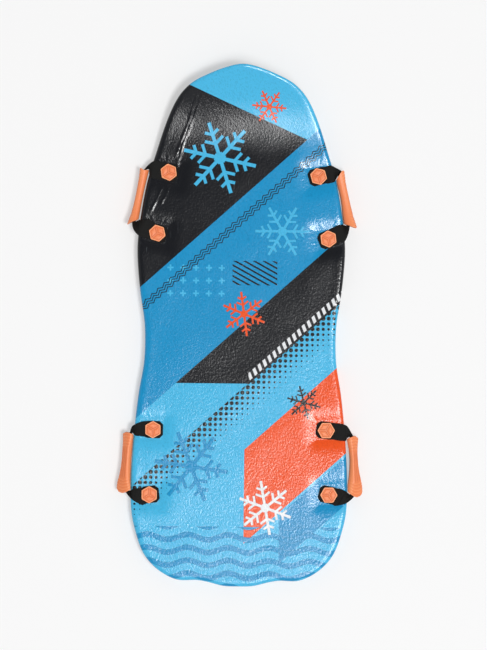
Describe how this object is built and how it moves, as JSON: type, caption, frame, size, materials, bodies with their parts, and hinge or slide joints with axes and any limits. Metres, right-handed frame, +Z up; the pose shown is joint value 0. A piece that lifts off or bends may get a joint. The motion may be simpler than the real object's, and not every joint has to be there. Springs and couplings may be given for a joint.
{
  "type": "foam snow slider",
  "caption": "Flat foam sled board for two riders with an upturned nose, an hourglass outline and webbing handles with moulded grips clamped under plugs along both sides.",
  "frame": {"origin": "on the ground under the middle of the board", "axes": "+Y towards the nose, +Z up from the base to the deck, +X to the right of a rider who faces the nose"},
  "size_m": [0.584, 1.2201, 0.0895],
  "materials": {
    "printed_skin": "heat-laminated printed film over thin foam, fine pebble grain, satin",
    "foam": "closed-cell polyethylene foam",
    "slick": "smooth polyethylene sheet",
    "webbing": "woven polypropylene webbing",
    "orange_plastic": "moulded polypropylene, satin",
    "socket_plastic": "moulded polypropylene, matte"
  },
  "bodies": {
    "board": {"deck_skin": "printed_skin", "foam_core": "foam", "slick_base": "slick", "plug_front_left_fore": "orange_plastic", "plug_front_left_aft": "orange_plastic", "plug_front_right_fore": "orange_plastic", "plug_front_right_aft": "orange_plastic", "plug_rear_left_fore": "orange_plastic", "plug_rear_left_aft": "orange_plastic", "plug_rear_right_fore": "orange_plastic", "plug_rear_right_aft": "orange_plastic", "socket_front_left_fore": "socket_plastic", "socket_front_left_aft": "socket_plastic", "socket_front_right_fore": "socket_plastic", "socket_front_right_aft": "socket_plastic", "socket_rear_left_fore": "socket_plastic", "socket_rear_left_aft": "socket_plastic", "socket_rear_right_fore": "socket_plastic", "socket_rear_right_aft": "socket_plastic", "tab_front_left_fore": "webbing", "tab_front_left_aft": "webbing", "tab_front_right_fore": "webbing", "tab_front_right_aft": "webbing", "tab_rear_left_fore": "webbing", "tab_rear_left_aft": "webbing", "tab_rear_right_fore": "webbing", "tab_rear_right_aft": "webbing"},
    "loop_front_left": {"strap_front_left": "webbing"},
    "loop_front_right": {"strap_front_right": "webbing"},
    "loop_rear_left": {"strap_rear_left": "webbing"},
    "loop_rear_right": {"strap_rear_right": "webbing"},
    "grip_front_left": {"grip_front_left": "orange_plastic"},
    "grip_front_right": {"grip_front_right": "orange_plastic"},
    "grip_rear_left": {"grip_rear_left": "orange_plastic"},
    "grip_rear_right": {"grip_rear_right": "orange_plastic"}
  },
  "joints": [
    {"name": "swing_front_left", "type": "hinge", "parent": "board", "child": "loop_front_left", "pos_m": [-0.19796, 0.36204, 0.0356], "axis": [0.1756, 0.9845, 0], "range_deg": [0, 100]},
    {"name": "swing_front_right", "type": "hinge", "parent": "board", "child": "loop_front_right", "pos_m": [0.20558, 0.35558, 0.0356], "axis": [0.166, -0.9861, 0], "range_deg": [0, 100]},
    {"name": "swing_rear_left", "type": "hinge", "parent": "board", "child": "loop_rear_left", "pos_m": [-0.22919, -0.24322, 0.0356], "axis": [0.0475, 0.9989, 0], "range_deg": [0, 100]},
    {"name": "swing_rear_right", "type": "hinge", "parent": "board", "child": "loop_rear_right", "pos_m": [0.22988, -0.24135, 0.0356], "axis": [0.0501, -0.9987, 0], "range_deg": [0, 100]},
    {"name": "roll_front_left", "type": "hinge", "parent": "loop_front_left", "child": "grip_front_left", "pos_m": [-0.24286, 0.3039, 0.027], "axis": [0.1756, 0.9845, 0], "range_deg": [-20, 20]},
    {"name": "roll_front_right", "type": "hinge", "parent": "loop_front_right", "child": "grip_front_right", "pos_m": [0.24365, 0.30107, 0.027], "axis": [0.166, -0.9861, 0], "range_deg": [-20, 20]},
    {"name": "roll_rear_left", "type": "hinge", "parent": "loop_rear_left", "child": "grip_rear_left", "pos_m": [-0.26955, -0.32142, 0.027], "axis": [0.0475, 0.9989, 0], "range_deg": [-20, 20]},
    {"name": "roll_rear_right", "type": "hinge", "parent": "loop_rear_right", "child": "grip_rear_right", "pos_m": [0.26977, -0.3278, 0.027], "axis": [0.0501, -0.9987, 0], "range_deg": [-20, 20]}
  ]
}
